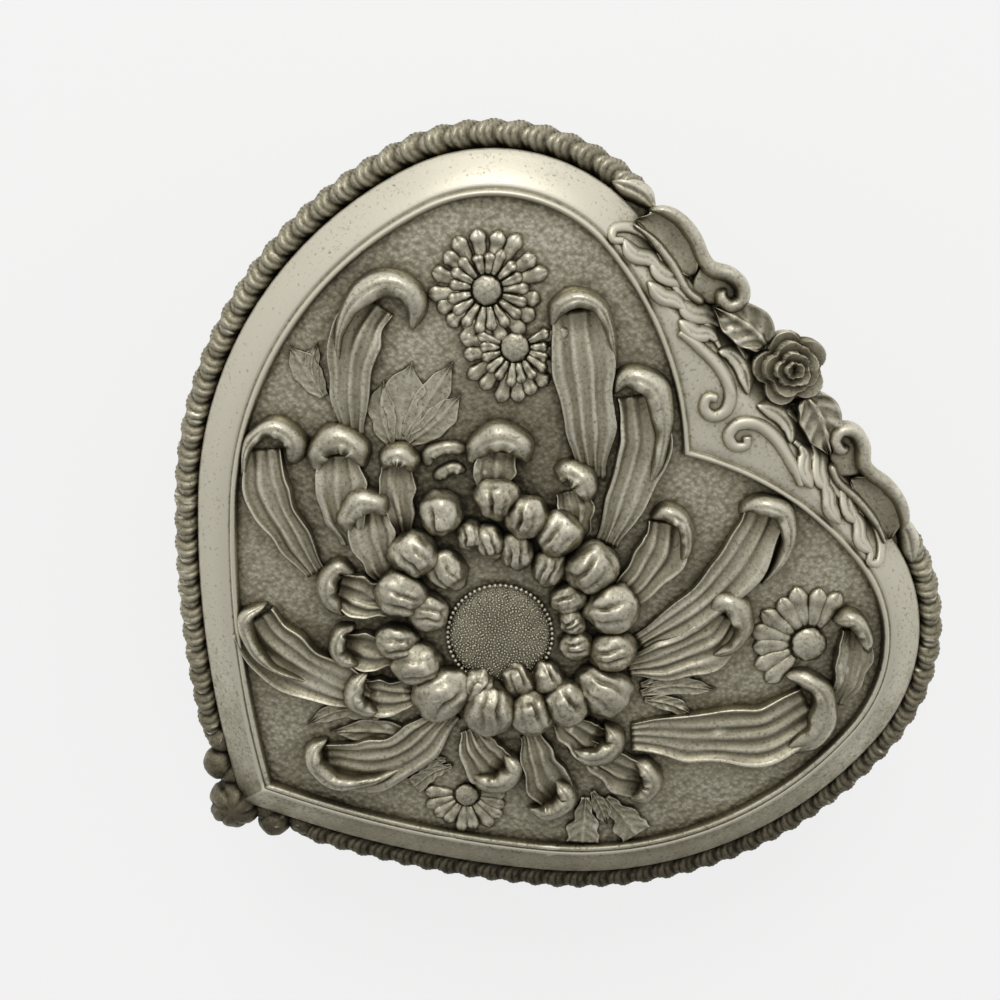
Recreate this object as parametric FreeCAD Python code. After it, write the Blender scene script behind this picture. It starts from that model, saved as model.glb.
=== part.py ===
import FreeCAD, Part
import math
import os

# A heart-shaped jewel box in cast and plated metal. The footed base holds a lined well, and the
# lid, with flowers in relief inside a roped border, swings up on a hinge across the straight back.
# Millimetres, +Z up, the heart's tip to the front (-Y), origin on the table under the middle.

# Plan of the heart: three tangent arcs a side, from the tip round to the straight back.
# A heading is the way the outline runs, in degrees from +X.
side_radius = 159.0
flank_radius = 60.0
lobe_radius = 31.0
tip_heading = 26.0
flank_heading = 45.0
lobe_heading = 104.0
back_heading = 180.0

# Heights of the base
foot_height = 6.0
wall_height = 32.0
floor_thickness = 1.2

# Walls, measured inwards from the outline
wall_inset = 4.0
wall_thickness = 1.5
bezel_thickness = 1.2
bezel_depth = 6.0
bezel_rise = 2.0
lid_clearance = 0.3
solder_gap = 0.05
overrun = 2.0

# Lid frame: an upright skirt, a sloping band and a small flat edge round the sunk field
skirt_height = 4.8
band_rise = 3.2
ridge_inset = 9.6
field_inset = 10.4
notch_depth = 9.4
field_drop = 1.2
seat_width = 1.2
panel_thickness = 1.0

# Roped border of the lid, and the plain moulding round the foot of the base
rope_radius = 2.2
rope_valley_radius = 1.85
rope_pitch = 3.3
rope_lift = 0.25
rope_start = 11.6
rope_end_gap = 2.0
rope_section_degrees = (-90, -40, 0, 40, 90)
rope_back_share = 0.55
end_leaf_length = 5.0
end_leaf_radius = 2.4
end_leaf_tip_radius = 1.0
moulding_radius = 2.0
moulding_inset = 2.6
moulding_degrees = (-90, -55, -18, 18, 55, 90)

# Boss and beads at the tip
boss_radius = 4.0
boss_setback = 1.9
bead_radius = 2.7
bead_inset = 1.6
bead_place = 7.6

# Crest of scrolls and a rose over the hinge
crest_drop = 1.2
crest_thickness = 2.6
crest_reach = 1.6
crest_run_on = 0.4
crest_inner_share = 0.175
crest_curl_share = 0.5
crest_waist = 1.2
leaf_reach = 0.9
scroll_reach = 0.7
rose_radius = 4.8
rose_overhang = 2.7
rose_height = 5.8
rose_petals = 5
rose_turn = 90.0
rose_root_share = 0.75
rose_dip_share = 0.8
rose_tier_shares = ((1, 0, 0.6), (0.74, 0.4, 0.85), (0.45, 0.6, 1))
acanthus_height = 0.9
acanthus_width = 4.6
acanthus_root = 0.5

# Hinge across the back
hinge_length = 44.0
knuckles = 5
knuckle_radius = 1.6
knuckle_gap = 0.3
pin_radius = 0.8
pin_clearance = 0.05
leaf_thickness = 0.8
base_leaf_height = 9.0
leaf_margin = 0.2

# Feet
foot_neck_radius = 3.2
foot_belly_radius = 4.6
foot_sole_radius = 3.0
tip_foot_place = 17.0
lobe_foot_inset = 15.0
lobe_foot_heading = 115.0

# Linings: card and velvet, each a little clear of the metal
soft_gap = 0.3
lining_thickness = 1.6
pad_edge_height = 2.2
pad_height = 5.4
pad_tuck = 0.9
pad_crown_width = 16.0
lid_pad_edge = 0.9
lid_pad_drop = 2.0
lid_pad_crown_width = 12.0

# Relief: its plan follows the sunk field, as shares of the heart's length and the field's half width
bloom_place_share = 0.508
bloom_shift_share = 0.048
bloom_reach_share = 1.0
bloom_rise_share = 0.45

# Chrysanthemum: heights, then plan sizes as shares of the bloom's reach
petal_height = 3.4
core_height = 1.2
disc_height = 2.6
lump_rise = 2.6
outer_lumps = 14
inner_lumps = 11
curl_radius_share = 0.026
curl_length_share = 0.85
station_shares = (0, 0.4, 0.8, 1)
petal_width_shares = (0.55, 0.85, 1, 0.8)
petal_height_shares = (0.5, 0.6, 0.9, 0.75)
core_share = 0.31
disc_share = 0.164
outer_lump_shares = (0.304, 0.050)
inner_lump_shares = (0.212, 0.038)

# Where each long petal starts and curls over: degrees and shares of the bloom's reach, then
# its width as a share of the reach
petal_shares = (
    (177, 0.69, 157, 0.98, 0.126),
    (215, 0.60, 190, 0.85, 0.096),
    (198, 0.53, 182, 0.71, 0.140),
    (185, 0.42, 172, 0.57, 0.108),
    (147, 0.38, 143, 0.54, 0.120),
    (204, 0.41, 188, 0.55, 0.120),
    (174, 0.36, 166, 0.43, 0.100),
    (112, 0.52, 127, 0.93, 0.140),
    (91, 0.38, 112, 0.80, 0.136),
    (108, 0.37, 117, 0.49, 0.110),
    (59, 0.38, 83, 0.57, 0.120),
    (40, 0.42, 73, 0.82, 0.140),
    (29, 0.44, 53, 0.66, 0.110),
    (8, 0.53, 36, 0.93, 0.164),
    (255, 0.54, 229, 0.76, 0.136),
    (290, 0.40, 268, 0.71, 0.136),
    (221, 0.38, 214, 0.51, 0.120),
    (245, 0.38, 240, 0.50, 0.108),
    (266, 0.39, 257, 0.50, 0.108),
    (345, 0.38, 358, 0.52, 0.110),
    (352, 0.54, 358, 0.70, 0.124),
    (331, 0.40, 336, 0.63, 0.124),
    (306, 0.38, 316, 0.52, 0.124),
)

# Daisies: across and up from the bloom's centre as shares of its reach, then the petals that
# show and the degrees they spread over, from a first heading
daisy_height = 1.6
daisy_boss_height = 2.4
daisy_reach_share = 0.14
daisy_width_share = 0.054
daisy_boss_share = 0.038
daisy_root_share = 0.2
daisy_station_shares = (0, 0.5, 1)
daisy_shares = {
    "daisy_upper": (-0.754, 0.568, 12, 308, 13),
    "daisy_second": (-0.560, 0.545, 11, 270, -145),
    "daisy_right": (0.615, 0.646, 8, 190, 40),
    "daisy_tip": (0.350, -0.474, 11, 270, 88),
}

# Leaves: where each starts, a place it bends through and its point, across and up from the
# bloom's centre as shares of its reach
leaf_height = 1.2
leaf_breadth_share = 0.072
leaf_width_shares = (0.35, 1, 0.15)
leaf_height_shares = (0.8, 1, 0.4)
leaf_shares = {
    "leaf_spray_upper": (
        (-0.60, 0.09, -0.67, 0.12, -0.77, 0.20),
        (-0.60, 0.09, -0.65, 0.18, -0.72, 0.29),
        (-0.59, 0.10, -0.60, 0.22, -0.64, 0.36),
        (-0.57, 0.11, -0.53, 0.21, -0.52, 0.31),
    ),
    "leaf_spray_tip": (
        (0.02, -0.44, -0.02, -0.56, -0.07, -0.68),
        (0.03, -0.43, 0.01, -0.58, 0.04, -0.70),
        (0.03, -0.43, 0.05, -0.54, 0.10, -0.65),
    ),
    "leaf_pair_flank": (
        (0.62, -0.10, 0.65, -0.16, 0.68, -0.25),
        (0.66, -0.02, 0.71, -0.08, 0.75, -0.16),
    ),
}

os.makedirs("parts", exist_ok=True)
Vector = FreeCAD.Vector
up = Vector(0, 0, 1)

part_z = foot_height + wall_height
floor_top = foot_height + floor_thickness
band_z = part_z + skirt_height
ridge_z = band_z + band_rise
field_z = ridge_z - field_drop
panel_low = field_z - panel_thickness
rope_z = part_z + rope_lift + rope_radius
skirt_inner = wall_inset + wall_thickness - lid_clearance
bezel_outer = wall_inset + wall_thickness + solder_gap


def arc_chain():
    """Centre, radius and first and last heading of each right-hand arc, and where the back runs."""
    headings = [math.radians(h) for h in (tip_heading, flank_heading, lobe_heading, back_heading)]
    chain = []
    x, y = 0, 0
    for radius, start, end in zip((side_radius, flank_radius, lobe_radius), headings, headings[1:]):
        cx = x - radius * math.sin(start)
        cy = y + radius * math.cos(start)
        chain.append((cx, cy, radius, start, end))
        x = cx + radius * math.sin(end)
        y = cy - radius * math.cos(end)
    return chain, x, y


chain_from_tip, back_half, heart_length = arc_chain()
tip_y = (boss_radius - boss_setback - heart_length - rose_overhang) / 2
back_y = tip_y + heart_length
arcs = [(cx, cy + tip_y, radius, start, end) for cx, cy, radius, start, end in chain_from_tip]


def first_heading(inset):
    """Heading where the first arc, moved inwards, leaves the middle plane."""
    cx, cy, radius, start, end = arcs[0]
    return math.asin(-cx / (radius - inset))


def on_arc(index, inset, heading, z):
    cx, cy, radius, start, end = arcs[index]
    reach = radius - inset
    return Vector(cx + reach * math.sin(heading), cy - reach * math.cos(heading), z)


def mirrored(point):
    return Vector(-point.x, point.y, point.z)


def side_points(inset, z):
    """Start, middle and end of each right-hand arc, from the tip to the back."""
    points = []
    for index, (cx, cy, radius, start, end) in enumerate(arcs):
        begin = first_heading(inset) if index == 0 else start
        points.append([on_arc(index, inset, h, z) for h in (begin, (begin + end) / 2, end)])
    return points


def closed_outline(right):
    """Wire of three-point arcs up the right side and down the left, joined by a line if apart."""
    left = [[mirrored(p) for p in reversed(points)] for points in reversed(right)]
    edges = [Part.Arc(*points).toShape() for points in right]
    last, first = right[-1][-1], left[0][0]
    if not last.isEqual(first, solder_gap):
        edges.append(Part.makeLine(last, first))
    edges += [Part.Arc(*points).toShape() for points in left]
    return Part.Wire(edges)


def heart(inset, z):
    return closed_outline(side_points(inset, z))


def heart_prism(inset, low, high):
    return Part.Face(heart(inset, low)).extrude(up * (high - low))


def heart_ring(outer, inner, low, high):
    return heart_prism(outer, low, high).cut(heart_prism(inner, low - overrun, high + overrun))


def heart_loft(levels):
    """Solid through the heart at several (inset, height) levels."""
    return Part.makeLoft([heart(inset, z) for inset, z in levels], True, True)


def field_prism(grow, low, high):
    """The sunk field: the heart's sides, with its back arched down to a notch on the middle plane."""
    right = side_points(field_inset - grow, low)
    lobe_end = right[-1][-1]
    notch_radius = (lobe_end.x ** 2 + notch_depth ** 2) / (2 * notch_depth)
    reach = notch_radius + grow
    cy = lobe_end.y - reach
    sweep = math.asin(lobe_end.x / reach)
    middle = Vector(lobe_end.x - reach * math.sin(sweep / 2), cy + reach * math.cos(sweep / 2), low)
    right.append([lobe_end, middle, Vector(0, cy + reach * math.cos(sweep), low)])
    return Part.Face(closed_outline(right)).extrude(up * (high - low))


def walk(inset, distance):
    """Place and heading a distance along the right-hand outline from the middle plane at the tip."""
    for index, (cx, cy, radius, start, end) in enumerate(arcs):
        begin = first_heading(inset) if index == 0 else start
        reach = radius - inset
        length = reach * (end - begin)
        if distance <= length:
            heading = begin + distance / reach
            return on_arc(index, inset, heading, 0), heading
        distance -= length
    return Vector(back_half - distance, back_y - inset, 0), math.radians(back_heading)


def side_length(inset):
    total = 0
    for index, (cx, cy, radius, start, end) in enumerate(arcs):
        begin = first_heading(inset) if index == 0 else start
        total += (radius - inset) * (end - begin)
    return total


def box(low, high):
    size = high - low
    return Part.makeBox(size.x, size.y, size.z, low)


def both_sides(shape):
    return shape, shape.mirror(Vector(0, 0, 0), Vector(1, 0, 0))


def ridge(places, widths, heights):
    """Low relief: a loft through flat-bottomed, round-topped sections along a few places."""
    sections = []
    for index, place in enumerate(places):
        ahead = places[min(index + 1, len(places) - 1)]
        behind = places[max(index - 1, 0)]
        along = (ahead - behind).normalize()
        across = up.cross(along).normalize() * (widths[index] / 2)
        arch = Part.Arc(place - across, place + up * heights[index], place + across).toShape()
        sections.append(Part.Wire([arch, Part.makeLine(place + across, place - across)]))
    return Part.makeLoft(sections, True, False)


def export(name, shape):
    shape.exportStep(f"parts/{name}.step")


# Base: the upright wall, its floor and the bezel that the lid closes over
export("base_wall", heart_ring(wall_inset, wall_inset + wall_thickness, foot_height, part_z))
export("base_floor", heart_prism(bezel_outer, foot_height, floor_top))
bezel_inner = bezel_outer + bezel_thickness
bezel_low = part_z - bezel_depth
export("base_bezel", heart_ring(bezel_outer, bezel_inner, bezel_low, part_z + bezel_rise))


def moulding():
    """Half-round moulding round the foot of the wall: its right half, mitred at tip and back."""
    z = foot_height + moulding_radius
    levels = []
    for angle in moulding_degrees:
        out = moulding_radius * math.cos(math.radians(angle))
        rise = moulding_radius * math.sin(math.radians(angle))
        levels.append((moulding_inset - out, z + rise))
    ring = heart_loft(levels).cut(heart_prism(wall_inset - solder_gap, 0, part_z))
    right_low = Vector(0, tip_y - overrun, 0)
    return ring.common(box(right_low, Vector(2 * flank_radius, back_y + overrun, part_z)))


for name, shape in zip(("base_moulding_right", "base_moulding_left"), both_sides(moulding())):
    export(name, shape)


def foot(place):
    """Turned bun foot with a flat sole."""
    neck = Vector(foot_neck_radius, 0, foot_height)
    belly = Vector(foot_belly_radius, 0, foot_height / 2)
    sole = Vector(foot_sole_radius, 0, 0)
    edges = [
        Part.makeLine(Vector(0, 0, 0), sole),
        Part.Arc(sole, belly, neck).toShape(),
        Part.makeLine(neck, Vector(0, 0, foot_height)),
        Part.makeLine(Vector(0, 0, foot_height), Vector(0, 0, 0)),
    ]
    turned = Part.Face(Part.Wire(edges)).revolve(Vector(0, 0, 0), up, 360)
    return turned.translated(place)


lobe_foot = on_arc(len(arcs) - 1, lobe_foot_inset, math.radians(lobe_foot_heading), 0)
export("foot_tip", foot(Vector(0, tip_y + tip_foot_place, 0)))
export("foot_right", foot(lobe_foot))
export("foot_left", foot(mirrored(lobe_foot)))

# Hinge: knuckles shared between two leaves on the back of the box, and one pin
wall_back = back_y - wall_inset
axis_y = wall_back + knuckle_radius + knuckle_gap
knuckle_pitch = hinge_length / knuckles
knuckle_length = knuckle_pitch - knuckle_gap


def barrel(radius, start, length):
    return Part.makeCylinder(radius, length, Vector(start, axis_y, part_z), Vector(1, 0, 0))


def hinge_leaf(first, far_z, near_z):
    """Leaf from its far edge to the edge beside the barrel, with every other knuckle."""
    half = hinge_length / 2
    plate_low = Vector(-half, wall_back, min(far_z, near_z))
    plate = box(plate_low, Vector(half, wall_back + leaf_thickness, max(far_z, near_z)))
    pieces = []
    bores = []
    for index in range(first, knuckles, 2):
        start = index * knuckle_pitch - half + knuckle_gap / 2
        tab_low = Vector(start, wall_back + knuckle_gap, min(near_z, part_z))
        tab_high = Vector(start + knuckle_length, axis_y, max(near_z, part_z))
        pieces += [barrel(knuckle_radius, start, knuckle_length), box(tab_low, tab_high)]
        bores.append(barrel(pin_radius + pin_clearance, start - overrun, knuckle_length + 2 * overrun))
    return plate.multiFuse(pieces).cut(bores)


barrel_room = knuckle_radius + knuckle_gap
crest_low = band_z - crest_drop
export("base_hinge_leaf", hinge_leaf(0, part_z - base_leaf_height, part_z - barrel_room))
export("lid_hinge_leaf", hinge_leaf(1, crest_low - leaf_margin, part_z + barrel_room))
export("hinge_pin", barrel(pin_radius, -hinge_length / 2, hinge_length))

# Linings of the base: a band round the wall under the bezel, and a crowned cushion on the floor
lining_outer = wall_inset + wall_thickness + soft_gap
lining_inner = lining_outer + lining_thickness
export("wall_lining", heart_ring(lining_outer, lining_inner, floor_top + soft_gap, bezel_low - soft_gap))
pad_edge = lining_inner + soft_gap
pad_low = floor_top + soft_gap
export("floor_pad", heart_loft((
    (pad_edge + pad_tuck, pad_low),
    (pad_edge, pad_low + pad_edge_height / 2),
    (pad_edge + pad_tuck, pad_low + pad_edge_height),
    (pad_edge + pad_crown_width / 2, pad_low + (pad_edge_height + pad_height) / 2),
    (pad_edge + pad_crown_width, pad_low + pad_height),
)))

# Lid frame: skirt and sloping band as a shell, open over the field, with a seat for the panel
shell = heart_loft(((wall_inset, part_z), (wall_inset, band_z), (ridge_inset, ridge_z)))
shoulder_z = band_z - (skirt_inner - wall_inset)
hollow = heart_loft(((skirt_inner, part_z - overrun), (skirt_inner, shoulder_z), (field_inset, panel_low)))
pocket = field_prism(seat_width + solder_gap, shoulder_z, field_z)
window = field_prism(0, field_z - overrun, ridge_z + overrun)
frame = shell.cut([hollow, pocket, window]).Solids[0]
export("lid_frame", frame)
export("relief_panel", field_prism(seat_width, panel_low, field_z))

# Padded lining under the panel, crowned downwards and clear of the bezel
lid_pad_edge_inset = skirt_inner + lid_pad_edge
lid_pad_top = panel_low - soft_gap
lid_pad_low = part_z + bezel_rise - soft_gap
export("lid_lining", heart_loft((
    (lid_pad_edge_inset + lid_pad_crown_width, lid_pad_low),
    (lid_pad_edge_inset + lid_pad_crown_width / 2, lid_pad_low + soft_gap),
    (lid_pad_edge_inset, lid_pad_low + lid_pad_drop / 2),
    (lid_pad_edge_inset, shoulder_z),
    (field_inset + lid_pad_edge, lid_pad_top),
)))


def rope():
    """Roped border on the right of the lid: lobes between valleys, ending in a swelling leaf."""
    length = side_length(rope_radius) - rope_start - rope_end_gap
    lobed = length - end_leaf_length
    lobes = round(lobed / rope_pitch)
    stations = []
    for index in range(lobes):
        start = rope_start + lobed * index / lobes
        stations += [(start, rope_valley_radius), (start + lobed / lobes / 2, rope_radius)]
    leaf = rope_start + lobed
    stations += [
        (leaf, rope_valley_radius),
        (leaf + end_leaf_length / 2, end_leaf_radius),
        (leaf + end_leaf_length, end_leaf_tip_radius),
    ]
    return Part.makeLoft([rope_section(distance, radius) for distance, radius in stations], True, True)


def rope_section(distance, radius):
    """A round section, flat where it lies on the skirt."""
    place, heading = walk(rope_radius, distance)
    out = Vector(math.sin(heading), -math.cos(heading), 0)
    back = out * (rope_radius + solder_gap - wall_inset)
    middle = place + up * rope_z
    angles = [math.radians(a) for a in rope_section_degrees]
    points = [middle + out * (radius * math.cos(a)) + up * (radius * math.sin(a)) for a in angles]
    points.append(middle + back + up * (radius * rope_back_share))
    points.append(middle + back - up * (radius * rope_back_share))
    return Part.makePolygon(points + points[:1])


for name, shape in zip(("lid_rope_right", "lid_rope_left"), both_sides(rope())):
    export(name, shape)

# Ball boss where the ropes meet at the tip, and a bead on each side of it
lid_skirt_block = heart_prism(wall_inset - solder_gap, part_z - boss_radius, ridge_z + overrun)
below_lid = heart_prism(-boss_radius, part_z - 2 * boss_radius, part_z + rope_lift)


def tip_ball(radius, place):
    return Part.makeSphere(radius, place + up * rope_z).cut([lid_skirt_block, below_lid])


export("tip_boss", tip_ball(boss_radius, Vector(0, tip_y + boss_setback, 0)))
bead_spot, bead_heading = walk(bead_inset, bead_place)
export("tip_bead_right", tip_ball(bead_radius, bead_spot))
export("tip_bead_left", tip_ball(bead_radius, mirrored(bead_spot)))


crest_outer = back_half + crest_run_on
crest_inner = crest_outer * crest_inner_share
crest_curl_place = crest_outer * crest_curl_share


def crest_scroll():
    """Flat scroll on the right of the rose: a leaf, a curl and a long C, with its root on the skirt."""
    root = wall_back + solder_gap
    edge = back_y - crest_waist
    curl_half = (crest_curl_place - crest_inner) / 4
    leaf_end = crest_curl_place - curl_half
    curl_end = crest_curl_place + curl_half
    corners = [Vector(x, edge, crest_low) for x in (crest_inner, leaf_end, curl_end, crest_outer)]
    swells = (leaf_reach, crest_reach, scroll_reach)
    edges = [Part.makeLine(Vector(crest_inner, root, crest_low), corners[0])]
    for start, end, swell in zip(corners, corners[1:], swells):
        middle = (start + end) / 2
        edges.append(Part.Arc(start, Vector(middle.x, back_y + swell, crest_low), end).toShape())
    edges.append(Part.makeLine(corners[-1], Vector(crest_outer, root, crest_low)))
    edges.append(Part.makeLine(Vector(crest_outer, root, crest_low), Vector(crest_inner, root, crest_low)))
    return Part.Face(Part.Wire(edges)).extrude(up * crest_thickness)


for name, shape in zip(("crest_scroll_right", "crest_scroll_left"), both_sides(crest_scroll())):
    export(name, shape)


def rose_tier(centre, radius, low, high, turn):
    """One whorl: a ring of points and dips that widens upwards."""
    wires = []
    for spread_share, z in ((rose_root_share, low), (1, high)):
        points = []
        for index in range(2 * rose_petals):
            angle = math.pi * index / rose_petals + math.radians(turn)
            reach = radius * spread_share * (rose_dip_share if index % 2 else 1)
            points.append(centre + Vector(reach * math.cos(angle), reach * math.sin(angle), z))
        wires.append(Part.makePolygon(points + points[:1]))
    return Part.makeLoft(wires, True, True)


def rose():
    """Rose of three whorls, each turned between the petals of the one below, on the band and skirt."""
    centre = Vector(0, back_y + rose_overhang - rose_radius, crest_low)
    whorls = []
    for index, (radius_share, low_share, high_share) in enumerate(rose_tier_shares):
        turn = rose_turn + index * math.degrees(math.pi / rose_petals)
        low = rose_height * low_share
        high = rose_height * high_share
        whorls.append(rose_tier(centre, rose_radius * radius_share, low, high, turn))
    return whorls[0].multiFuse(whorls[1:]).cut(frame)


export("crest_rose", rose())


def band_height(inset):
    """Height of the sloping band at an inset, level with the flat edge further in."""
    climb = (inset - wall_inset) / (ridge_inset - wall_inset)
    return band_z + band_rise * min(max(climb, 0), 1)


def acanthus():
    """Low scrolled leaf from the notch across the slope of the band, on the right."""
    stations = (
        (crest_inner, field_inset),
        (crest_curl_place, (ridge_inset + wall_inset) / 2),
        (crest_outer, (ridge_inset + wall_inset) / 2),
    )
    places = [Vector(x, back_y - inset, band_height(inset) - acanthus_root) for x, inset in stations]
    widths = [acanthus_width * share for share in leaf_width_shares]
    heights = [acanthus_root + acanthus_height * share for share in leaf_height_shares]
    return ridge(places, widths, heights).cut(frame)


for name, shape in zip(("acanthus_right", "acanthus_left"), both_sides(acanthus())):
    export(name, shape)

# Chrysanthemum: hooked petals round a ring of incurved ones and a flat disc
flank_x, flank_y, flank_reach, flank_start, flank_end = arcs[1]
widest = flank_x + flank_reach
field_half_width = widest - field_inset
bloom_reach = field_half_width * bloom_reach_share
bloom_rise = heart_length * bloom_rise_share
curl_radius = bloom_reach * curl_radius_share
bloom = Vector(field_half_width * bloom_shift_share, tip_y + heart_length * bloom_place_share, field_z)


def from_bloom(across_share, up_share):
    return bloom + Vector(bloom_reach * across_share, bloom_rise * up_share, 0)


def round_bloom(turn, share):
    return from_bloom(share * math.cos(turn), share * math.sin(turn))


def hooked_petal(start_degrees, start_share, end_degrees, end_share, width_share):
    """Strap that swings outwards from the ring and rolls over at its end."""
    width = bloom_reach * width_share
    places = []
    for share in station_shares:
        turn = math.radians(start_degrees + (end_degrees - start_degrees) * share)
        places.append(round_bloom(turn, start_share + (end_share - start_share) * share))
    widths = [width * share for share in petal_width_shares]
    heights = [petal_height * share for share in petal_height_shares]
    across = up.cross(places[-1] - places[-2]).normalize()
    roll_length = width * curl_length_share
    roll_start = places[-1] - across * (roll_length / 2) + up * (petal_height - curl_radius)
    roll = Part.makeCylinder(curl_radius, roll_length, roll_start, across)
    return [ridge(places, widths, heights), roll]


pieces = []
for row in petal_shares:
    pieces += hooked_petal(*row)
petals = pieces[0].multiFuse(pieces[1:]).cut(frame)
export("chrysanthemum_petals", petals)


def bloom_heart():
    """Disc with two rings of incurved petals on a low core."""
    core = Part.makeCylinder(bloom_reach * core_share, core_height, bloom)
    disc = Part.makeCylinder(bloom_reach * disc_share, disc_height, bloom)
    lumps = []
    rings = ((outer_lump_shares, outer_lumps), (inner_lump_shares, inner_lumps))
    for (ring_share, radius_share), count in rings:
        for index in range(count):
            spot = round_bloom(2 * math.pi * index / count, ring_share) + up * lump_rise
            lumps.append(Part.makeSphere(bloom_reach * radius_share, spot))
    return core.multiFuse([disc] + lumps).cut(petals)


export("chrysanthemum_heart", bloom_heart())


def daisy(across_share, up_share, count, spread, first):
    """Rayed flower: straight petals spread from a boss."""
    centre = from_bloom(across_share, up_share)
    rays = []
    for index in range(count):
        turn = math.radians(first + spread * index / (count - 1))
        ray = Vector(math.cos(turn), math.sin(turn), 0) * (bloom_reach * daisy_reach_share)
        steps = [daisy_root_share + (1 - daisy_root_share) * share for share in daisy_station_shares]
        places = [centre + ray * step for step in steps]
        widths = [bloom_reach * daisy_width_share * share for share in petal_width_shares[:3]]
        heights = [daisy_height * share for share in petal_height_shares[:3]]
        rays.append(ridge(places, widths, heights))
    boss = Part.makeCylinder(bloom_reach * daisy_boss_share, daisy_boss_height, centre)
    return boss.multiFuse(rays)


def clear_of(shape, solids):
    """The shape without what its neighbours take up."""
    near = [solid for solid in solids if solid.BoundBox.intersect(shape.BoundBox)]
    return shape.cut(near) if near else shape


taken = [frame] + petals.Solids
for name, row in daisy_shares.items():
    flower = clear_of(daisy(*row), taken)
    taken += flower.Solids
    export(name, flower)


def leaf_spray(rows):
    leaves = []
    for row in rows:
        places = [from_bloom(*row[index:index + 2]) for index in (0, 2, 4)]
        widths = [bloom_reach * leaf_breadth_share * share for share in leaf_width_shares]
        heights = [leaf_height * share for share in leaf_height_shares]
        leaves.append(ridge(places, widths, heights))
    return leaves[0].multiFuse(leaves[1:])


for name, rows in leaf_shares.items():
    export(name, clear_of(leaf_spray(rows), taken))
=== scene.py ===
import bmesh
import bpy
import math
from mathutils import Matrix, Vector, noise


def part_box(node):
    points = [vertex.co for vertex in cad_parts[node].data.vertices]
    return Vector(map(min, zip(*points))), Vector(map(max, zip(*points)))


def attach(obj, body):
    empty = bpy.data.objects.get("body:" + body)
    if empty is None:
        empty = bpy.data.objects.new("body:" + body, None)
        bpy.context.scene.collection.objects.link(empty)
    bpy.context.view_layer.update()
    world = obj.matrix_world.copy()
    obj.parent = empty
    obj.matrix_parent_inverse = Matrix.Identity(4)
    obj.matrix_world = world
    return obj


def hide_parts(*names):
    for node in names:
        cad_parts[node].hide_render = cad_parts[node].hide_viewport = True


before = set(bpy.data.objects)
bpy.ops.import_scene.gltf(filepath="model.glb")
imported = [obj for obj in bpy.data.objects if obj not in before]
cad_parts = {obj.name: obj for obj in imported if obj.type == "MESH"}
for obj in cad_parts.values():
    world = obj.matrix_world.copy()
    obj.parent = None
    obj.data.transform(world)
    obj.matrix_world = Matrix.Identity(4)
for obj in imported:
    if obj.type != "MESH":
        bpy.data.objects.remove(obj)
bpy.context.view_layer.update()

# Camera. The lid is seen almost square on, from above the left lobe, with the heart's tip to the
# lower left and its hinge to the right. The picture is a square of 1000 pixels.
mm = 0.001
picture = 1000
sensor_width = 36.0
lens = 39.6
focal = lens / sensor_width * picture
eye = Vector((-39.33, 37.46, 197.74)) * mm
look = Vector((0.1769, -0.1665, -0.97)).normalized()
picture_down = Vector((0.7446, -0.6219, 0.2425)).normalized()
picture_right = picture_down.cross(look)

camera_data = bpy.data.cameras.new("camera")
camera_data.lens = lens
camera_data.sensor_width = sensor_width
camera_data.clip_start = 10 * mm
camera = bpy.data.objects.new("camera", camera_data)
camera.matrix_world = Matrix.Translation(eye) @ Matrix(
    (picture_right, -picture_down, -look)).transposed().to_4x4()
bpy.context.scene.collection.objects.link(camera)
bpy.context.scene.camera = camera


def on_plane(pixel, z):
    """The point at height z that a pixel of the picture shows."""
    across, down = pixel
    ray = look * focal + picture_right * (across - picture / 2) + picture_down * (down - picture / 2)
    return eye + ray * ((z - eye.z) / ray.z)


# Base. A wall of plated sheet on a flat floor, with a bezel inside its rim for the lid to close
# over, a half-round moulding round its foot and three turned feet. All soldered, then plated.
# The plate has gone grey, with dark tarnish in the recesses and paler metal where hands rub it.
class Socket:
    """A node's output. Sums on it add Math nodes, and node() adds any other node."""

    def __init__(self, tree, output=None):
        self.tree = tree
        self.output = output

    def node(self, kind, settings, sockets, output=0):
        made = self.tree.nodes.new(kind)
        for name, value in settings.items():
            if name == "stops":
                ramp = made.color_ramp.elements
                while len(ramp) < len(value):
                    ramp.new(1)
                for stop, (place, colour) in zip(ramp, value):
                    stop.position = place
                    stop.color = colour
            else:
                setattr(made, name, value)
        for name, value in sockets.items():
            if isinstance(value, Socket):
                self.tree.links.new(value.output, made.inputs[name])
            else:
                made.inputs[name].default_value = value
        return Socket(self.tree, made.outputs[output])

    def sum(self, operation, first, second):
        return self.node("ShaderNodeMath", {"operation": operation}, {0: first, 1: second})

    def __add__(self, other):
        return self.sum("ADD", self, other)

    def __radd__(self, other):
        return self.sum("ADD", other, self)

    def __sub__(self, other):
        return self.sum("SUBTRACT", self, other)

    def __rsub__(self, other):
        return self.sum("SUBTRACT", other, self)

    def __mul__(self, other):
        return self.sum("MULTIPLY", self, other)

    def __rmul__(self, other):
        return self.sum("MULTIPLY", other, self)

    def clamped(self):
        return self.node("ShaderNodeClamp", {}, {"Value": self})

    def grain(self, place, scale, detail, roughness=0.6):
        """Noise over a place, with about scale grains to the metre."""
        return self.node("ShaderNodeTexNoise", {}, {
            "Vector": place, "Scale": scale, "Detail": detail, "Roughness": roughness})

    def vector_sum(self, operation, first, second):
        """A number worked out from two vectors."""
        return self.node("ShaderNodeVectorMath", {"operation": operation}, {0: first, 1: second}, "Value")

    def surface(self, kind="ShaderNodeOutputMaterial"):
        """Ends the tree with this shader as what is seen."""
        made = self.tree.nodes.new(kind)
        self.tree.links.new(self.output, made.inputs["Surface"])


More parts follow.
